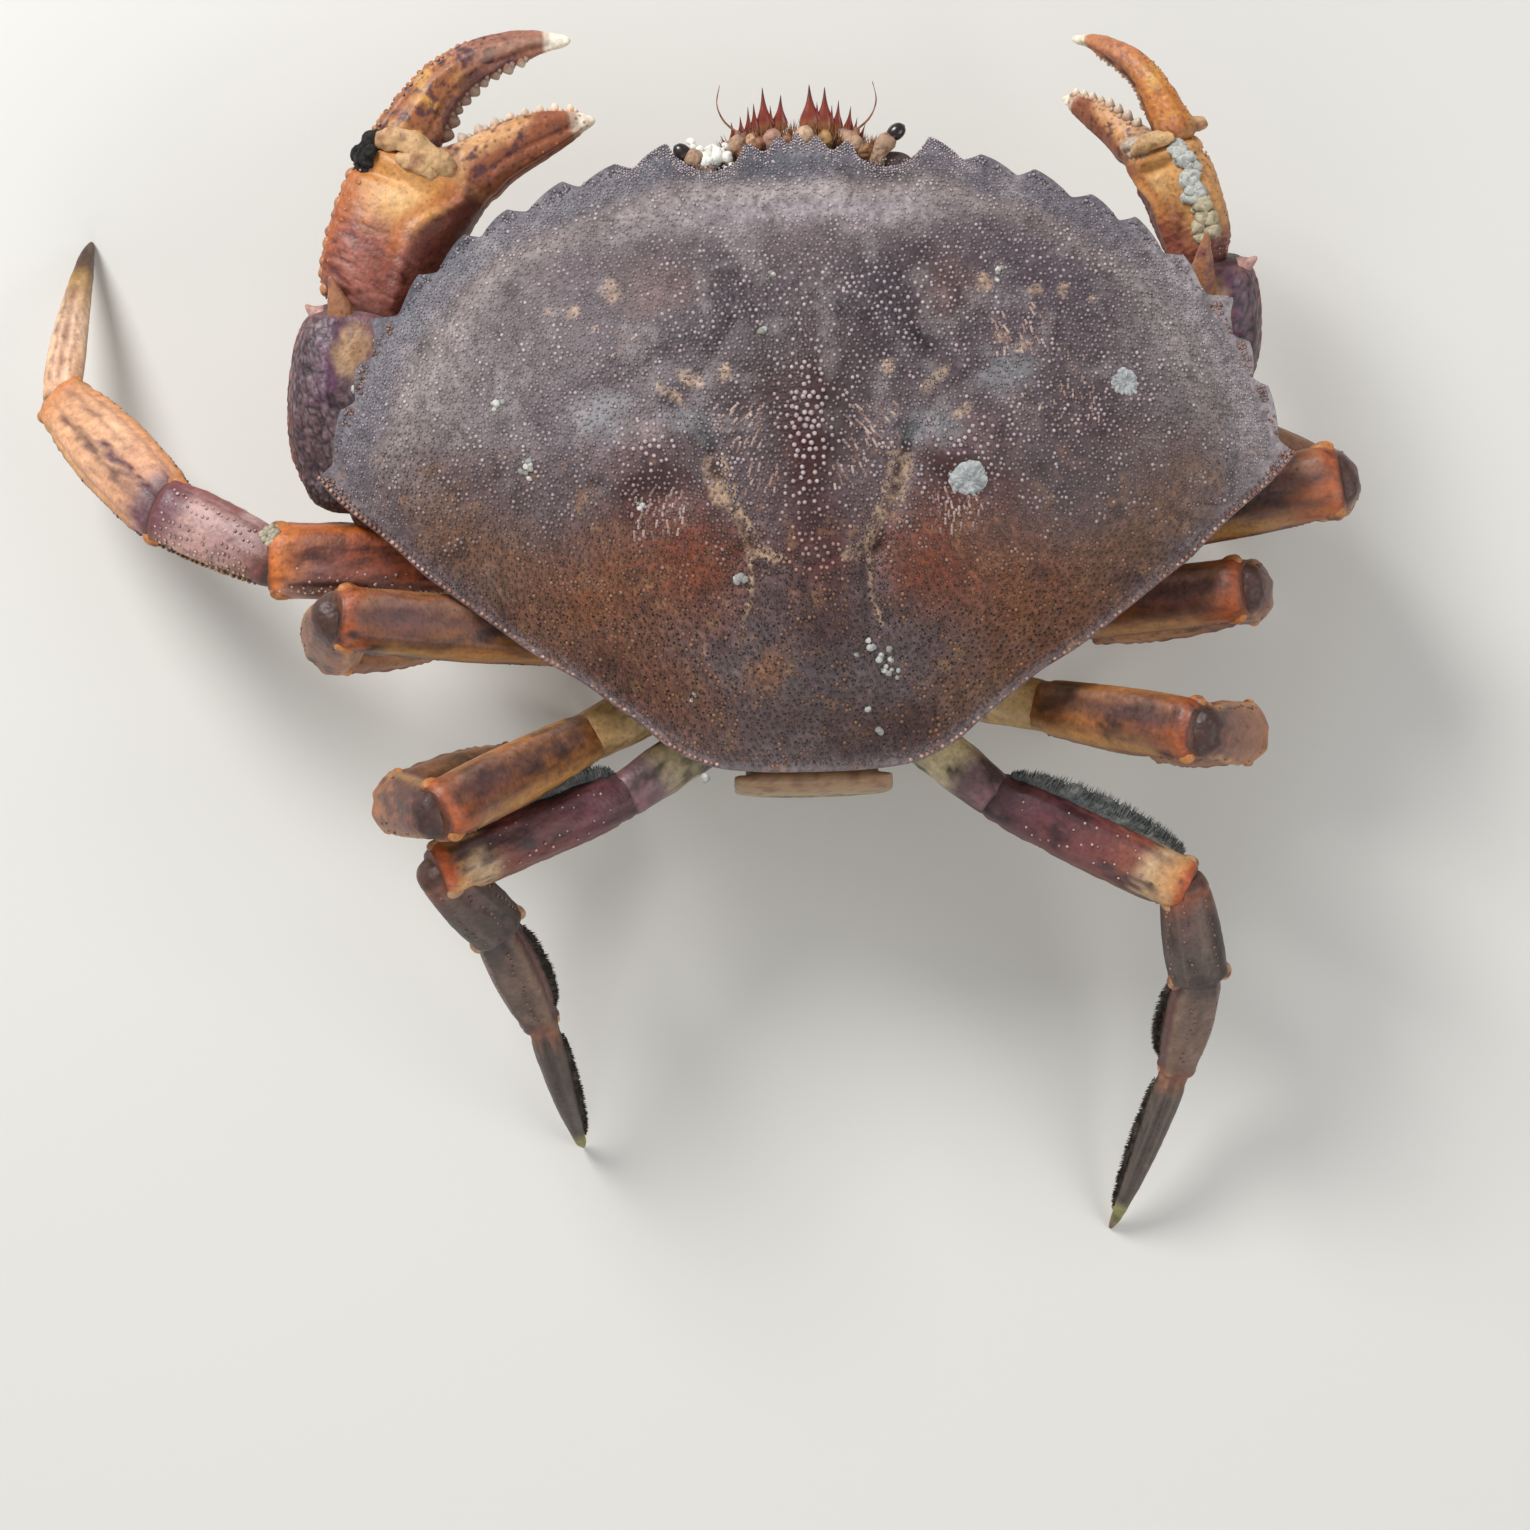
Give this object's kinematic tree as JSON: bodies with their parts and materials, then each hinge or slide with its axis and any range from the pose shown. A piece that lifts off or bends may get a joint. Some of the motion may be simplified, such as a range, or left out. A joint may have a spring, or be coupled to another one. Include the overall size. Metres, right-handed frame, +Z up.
{
  "type": "dungeness crab",
  "caption": "Still, life-size dungeness crab: wide toothed shell, short eyes and feelers, open claws held forward, jointed legs bent under it with the tips on the floor.",
  "frame": {"origin": "middle of the crab's bounding box, at floor level under its belly", "axes": "+Z up from the floor, -Y the way the crab faces, +X toward the crab's left side"},
  "size_m": [0.2434, 0.2246, 0.0873],
  "materials": {
    "shell": "satin",
    "underside": "satin",
    "claw": "satin",
    "arm": "satin",
    "leg": "satin",
    "leg_tip": "satin",
    "mouth": "satin",
    "eye": "gloss",
    "feeler": "satin"
  },
  "bodies": {
    "root": {"carapace": "shell", "underbody": "underside", "abdomen": "underside", "left_mouth_plate": "mouth", "left_eye": "eye", "left_antenna": "feeler", "left_claw_hip": "arm", "left_claw_merus": "arm", "left_claw_carpus": "arm", "left_claw_palm": "claw", "left_claw_finger": "claw", "left_leg_1_hip": "leg", "left_leg_1_merus": "leg", "left_leg_1_carpus": "leg", "left_leg_1_propodus": "leg", "left_leg_1_dactyl": "leg_tip", "left_leg_2_hip": "leg", "left_leg_2_merus": "leg", "left_leg_2_carpus": "leg", "left_leg_2_propodus": "leg", "left_leg_2_dactyl": "leg_tip", "left_leg_3_hip": "leg", "left_leg_3_merus": "leg", "left_leg_3_carpus": "leg", "left_leg_3_propodus": "leg", "left_leg_3_dactyl": "leg_tip", "left_leg_4_hip": "leg", "left_leg_4_merus": "leg", "left_leg_4_carpus": "leg", "left_leg_4_propodus": "leg", "left_leg_4_dactyl": "leg_tip", "right_mouth_plate": "mouth", "right_eye": "eye", "right_antenna": "feeler", "right_claw_hip": "arm", "right_claw_merus": "arm", "right_claw_carpus": "arm", "right_claw_palm": "claw", "right_claw_finger": "claw", "right_leg_1_hip": "leg", "right_leg_1_merus": "leg", "right_leg_1_carpus": "leg", "right_leg_1_propodus": "leg", "right_leg_1_dactyl": "leg_tip", "right_leg_2_hip": "leg", "right_leg_2_merus": "leg", "right_leg_2_carpus": "leg", "right_leg_2_propodus": "leg", "right_leg_2_dactyl": "leg_tip", "right_leg_3_hip": "leg", "right_leg_3_merus": "leg", "right_leg_3_carpus": "leg", "right_leg_3_propodus": "leg", "right_leg_3_dactyl": "leg_tip", "right_leg_4_hip": "leg", "right_leg_4_merus": "leg", "right_leg_4_carpus": "leg", "right_leg_4_propodus": "leg", "right_leg_4_dactyl": "leg_tip"}
  },
  "joints": []
}
